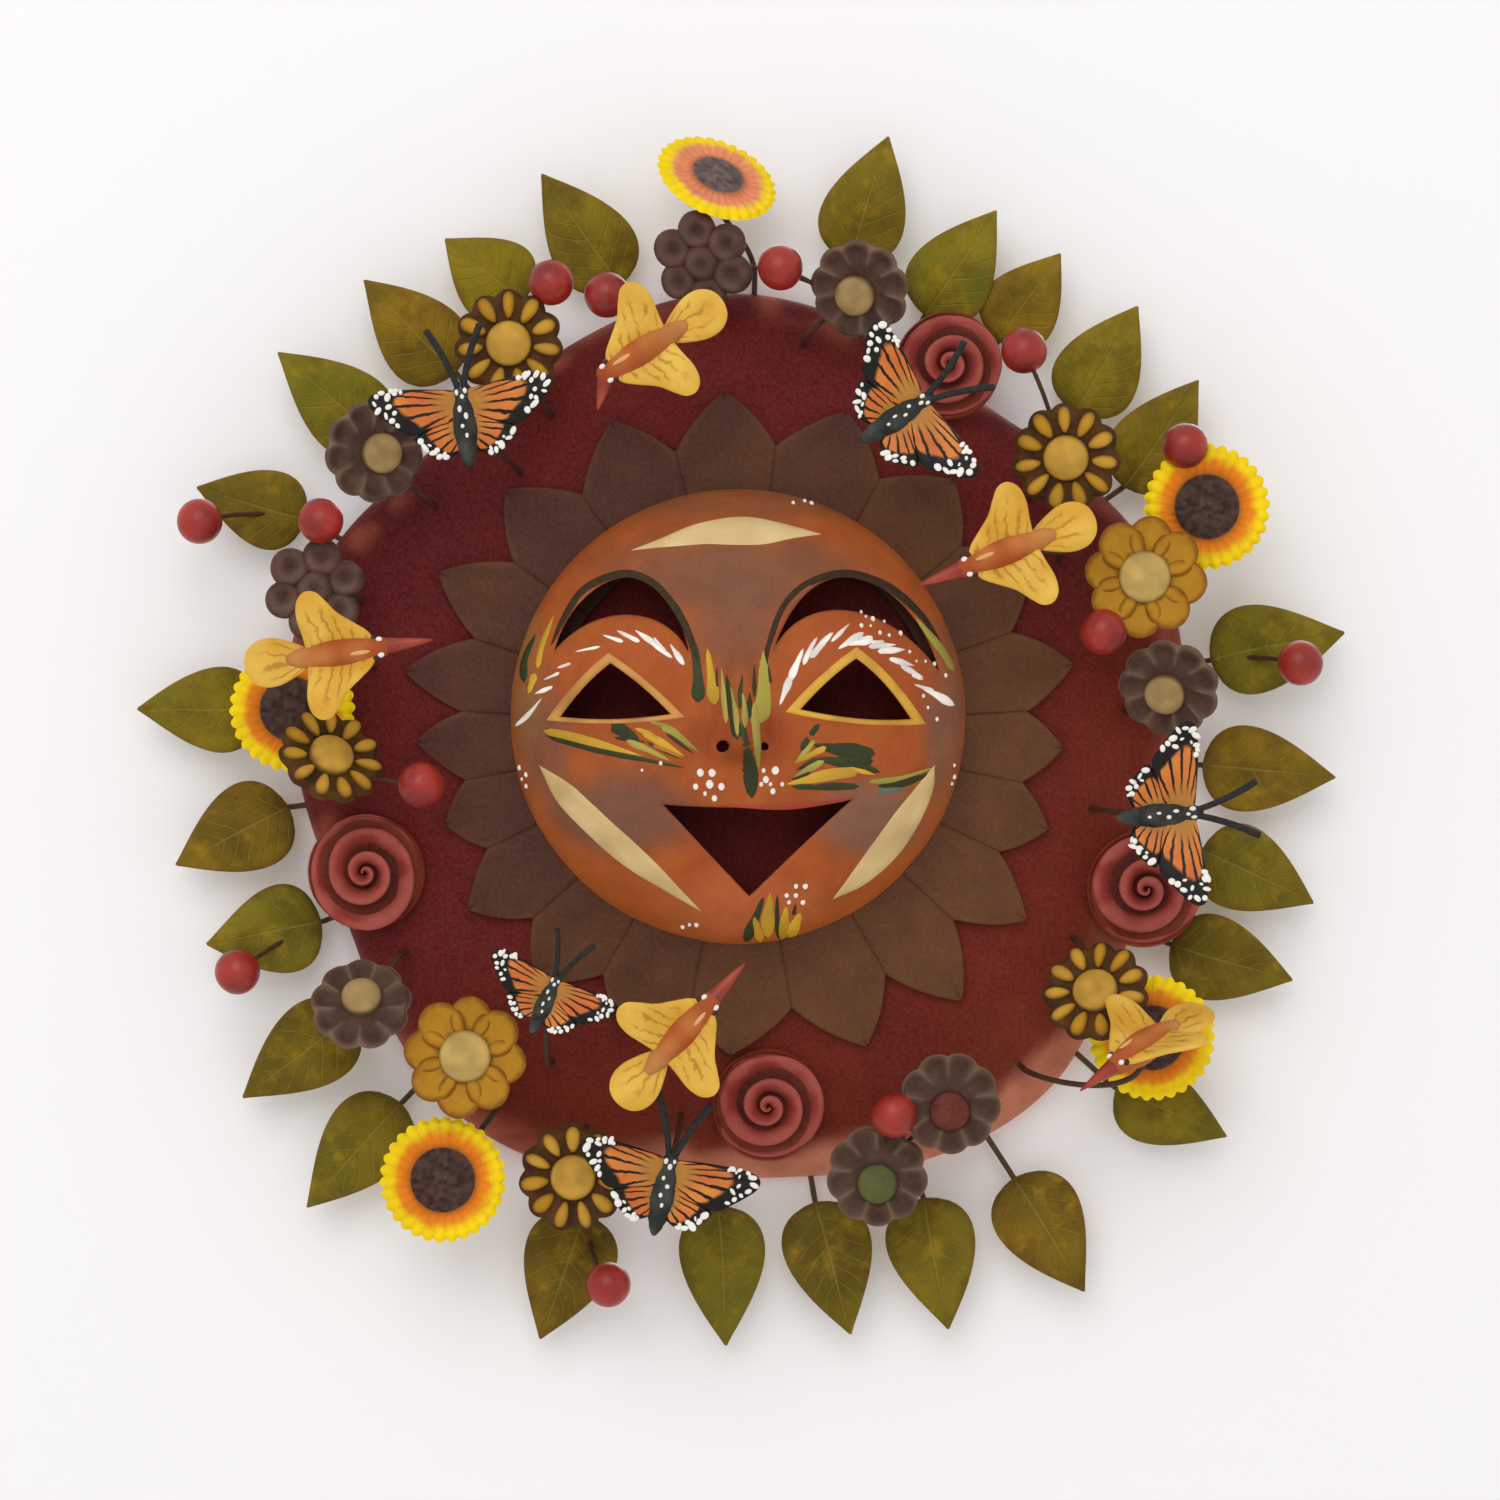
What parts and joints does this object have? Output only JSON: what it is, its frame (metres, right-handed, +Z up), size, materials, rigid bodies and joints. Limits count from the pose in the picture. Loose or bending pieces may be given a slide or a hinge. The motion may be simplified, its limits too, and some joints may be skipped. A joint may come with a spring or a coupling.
{
  "type": "clay sun wall ornament",
  "caption": "Domed clay sun for a wall with a pierced hollow face, a ring of rays, and leaves, flowers, birds, butterflies and berries on short wires round its rim.",
  "frame": {"origin": "top of the hanging wire, where the nail goes, on the wall plane y = 0", "axes": "+Z up along the wall, +X to the right seen from the front, the face looks along -Y and the wall is at y = 0"},
  "size_m": [0.3683, 0.077, 0.3693],
  "materials": {
    "disc_maroon": "low-fired clay, maroon paint under a thin satin varnish",
    "face_terracotta": "low-fired clay, terracotta and olive paint, satin",
    "leaf_green": "low-fired clay on wire, olive green paint, satin",
    "sunflower_yellow": "low-fired clay on wire, yellow petals and a dark brown middle, satin",
    "daisy_brown": "low-fired clay on wire, brown with mustard petals, satin",
    "mustard": "low-fired clay on wire, mustard petals and a cream middle, satin",
    "grey_brown": "low-fired clay on wire, grey-brown petals and a cream middle, satin",
    "rose_pink": "low-fired clay, deep pink paint, satin",
    "butterfly_orange": "low-fired clay on wire, orange wings with black veins and white dots, satin",
    "bird_yellow": "low-fired clay on wire, yellow feathers and a salmon body, satin",
    "hanging_steel": "bare drawn wire, dull"
  },
  "bodies": {
    "root": {"leaf_01": "leaf_green", "leaf_02": "leaf_green", "leaf_03": "leaf_green", "leaf_04": "leaf_green", "leaf_05": "leaf_green", "leaf_06": "leaf_green", "leaf_07": "leaf_green", "leaf_08": "leaf_green", "leaf_09": "leaf_green", "leaf_10": "leaf_green", "leaf_11": "leaf_green", "leaf_12": "leaf_green", "leaf_13": "leaf_green", "leaf_14": "leaf_green", "leaf_15": "leaf_green", "leaf_16": "leaf_green", "leaf_17": "leaf_green", "leaf_18": "leaf_green", "leaf_19": "leaf_green", "leaf_20": "leaf_green", "leaf_21": "leaf_green", "leaf_22": "leaf_green", "leaf_23": "leaf_green", "leaf_24": "leaf_green", "leaf_25": "leaf_green", "sunflower_top": "sunflower_yellow", "sunflower_right": "sunflower_yellow", "sunflower_left": "sunflower_yellow", "sunflower_lower_left": "sunflower_yellow", "sunflower_lower_right": "sunflower_yellow", "daisy_top_left": "daisy_brown", "daisy_right": "daisy_brown", "daisy_left": "daisy_brown", "daisy_bottom": "daisy_brown", "daisy_lower_right": "daisy_brown", "mustard_flower_right": "mustard", "mustard_flower_left": "mustard", "dark_flowers_top": "grey_brown", "dark_flower_upper_left": "grey_brown", "dark_flower_right": "grey_brown", "dark_flower_lower_left": "grey_brown", "dark_flower_left": "grey_brown", "dark_flowers_bottom": "grey_brown", "butterfly_upper_left": "butterfly_orange", "butterfly_upper_right": "butterfly_orange", "butterfly_right": "butterfly_orange", "butterfly_lower_left": "butterfly_orange", "butterfly_bottom": "butterfly_orange", "bird_top": "bird_yellow", "bird_right": "bird_yellow", "bird_left": "bird_yellow", "bird_bottom": "bird_yellow", "bird_lower_right": "bird_yellow", "rose_upper_right": "rose_pink", "rose_left": "rose_pink", "rose_bottom": "rose_pink", "rose_right": "rose_pink", "hanging_wire": "hanging_steel", "sun_face": "face_terracotta", "sun_disc": "disc_maroon"}
  },
  "joints": []
}
